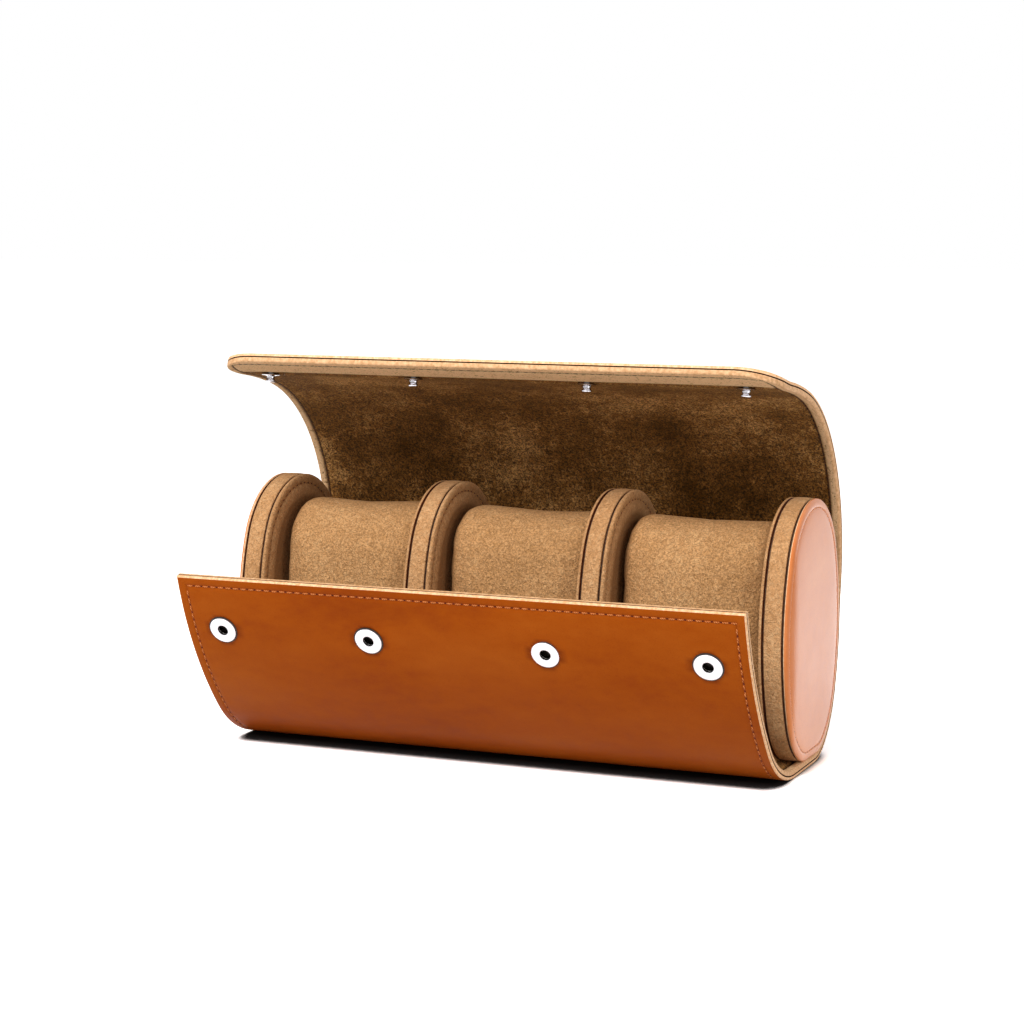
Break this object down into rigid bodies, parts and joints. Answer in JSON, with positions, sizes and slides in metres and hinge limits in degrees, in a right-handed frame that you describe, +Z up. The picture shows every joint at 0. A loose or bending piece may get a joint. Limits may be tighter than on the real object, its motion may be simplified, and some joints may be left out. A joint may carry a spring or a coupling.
{
  "type": "watch travel case",
  "caption": "Leather roll for watches, shown open, with a suede-lined lid and front flap that close with snaps over suede pillows between round-ended dividers.",
  "frame": {"origin": "on the table, at the middle of the flat underside, under the middle of the discs", "axes": "+X along the case to its right end, -Y to the front where the flap opens, +Z up"},
  "size_m": [0.2024, 0.1123, 0.1367],
  "materials": {
    "wrap_leather": "smooth tan leather, lightly waxed",
    "cap_leather": "smooth tan leather over padding",
    "lining_suede": "brown microsuede lining",
    "band_suede": "brown microsuede",
    "pillow_suede": "brown microsuede over wadding",
    "interlining": "thin felt interlining",
    "core_board": "grey board",
    "pillow_foam": "open-cell foam",
    "nickel": "polished nickel plate"
  },
  "bodies": {
    "case_body": {"base_leather": "wrap_leather", "base_interlining": "interlining", "base_lining": "lining_suede", "left_cap_core": "core_board", "left_cap_rim_band": "band_suede", "left_cap_facing": "band_suede", "left_cap_leather_face": "cap_leather", "right_cap_core": "core_board", "right_cap_rim_band": "band_suede", "right_cap_facing": "band_suede", "right_cap_leather_face": "cap_leather", "left_divider_core": "core_board", "left_divider_rim_band": "band_suede", "left_divider_left_facing": "band_suede", "left_divider_right_facing": "band_suede", "right_divider_core": "core_board", "right_divider_rim_band": "band_suede", "right_divider_left_facing": "band_suede", "right_divider_right_facing": "band_suede"},
    "flap_lower": {"flap_lower_leather": "wrap_leather", "flap_lower_interlining": "interlining", "flap_lower_lining": "lining_suede"},
    "flap_upper": {"flap_upper_leather": "wrap_leather", "flap_upper_interlining": "interlining", "flap_upper_lining": "lining_suede", "snap_sockets": "nickel", "snap_springs": "nickel", "snap_washers": "nickel"},
    "lid_rear": {"lid_rear_leather": "wrap_leather", "lid_rear_interlining": "interlining", "lid_rear_lining": "lining_suede"},
    "lid_top": {"lid_top_leather": "wrap_leather", "lid_top_interlining": "interlining", "lid_top_lining": "lining_suede"},
    "lid_front": {"lid_front_leather": "wrap_leather", "lid_front_interlining": "interlining", "lid_front_lining": "lining_suede", "snap_studs": "nickel", "snap_rivets": "nickel"},
    "lid_lip": {"lid_lip_leather": "wrap_leather", "lid_lip_interlining": "interlining", "lid_lip_lining": "lining_suede"},
    "left_pillow": {"left_pillow": "pillow_suede", "left_pillow_core": "pillow_foam"},
    "middle_pillow": {"middle_pillow": "pillow_suede", "middle_pillow_core": "pillow_foam"},
    "right_pillow": {"right_pillow": "pillow_suede", "right_pillow_core": "pillow_foam"}
  },
  "joints": [
    {"name": "flap_fold", "type": "hinge", "parent": "case_body", "child": "flap_lower", "pos_m": [0, -0.0181, 0.0015], "axis": [1, 0, 0], "range_deg": [-36.1, 0]},
    {"name": "flap_drop", "type": "hinge", "parent": "flap_lower", "child": "flap_upper", "pos_m": [0, -0.04704, 0.01466], "axis": [1, 0, 0], "range_deg": [0, 50]},
    {"name": "lid_fold", "type": "hinge", "parent": "case_body", "child": "lid_rear", "pos_m": [0, 0.03349, 0.05013], "axis": [-1, 0, 0], "range_deg": [-14.79, 75]},
    {"name": "lid_curl", "type": "hinge", "parent": "lid_rear", "child": "lid_top", "pos_m": [0, 0.02492, 0.1013], "axis": [-1, 0, 0], "range_deg": [-31.98, 15]},
    {"name": "lid_curl_front", "type": "hinge", "parent": "lid_top", "child": "lid_front", "pos_m": [0, -0.00869, 0.12572], "axis": [-1, 0, 0], "range_deg": [-37.75, 17.8]},
    {"name": "lip_flex", "type": "hinge", "parent": "lid_front", "child": "lid_lip", "pos_m": [0, -0.03819, 0.13079], "axis": [-1, 0, 0], "range_deg": [-22, 30]},
    {"name": "left_pillow_lift", "type": "slide", "parent": "case_body", "child": "left_pillow", "axis": [0, -0.5, 0.866], "range_m": [0, 0.04]},
    {"name": "middle_pillow_lift", "type": "slide", "parent": "case_body", "child": "middle_pillow", "axis": [0, -0.5, 0.866], "range_m": [0, 0.04]},
    {"name": "right_pillow_lift", "type": "slide", "parent": "case_body", "child": "right_pillow", "axis": [0, -0.5, 0.866], "range_m": [0, 0.04]}
  ],
  "couplings": [
    {"joint": "lid_curl_front", "follows": "lid_curl", "ratio": 1.18}
  ]
}
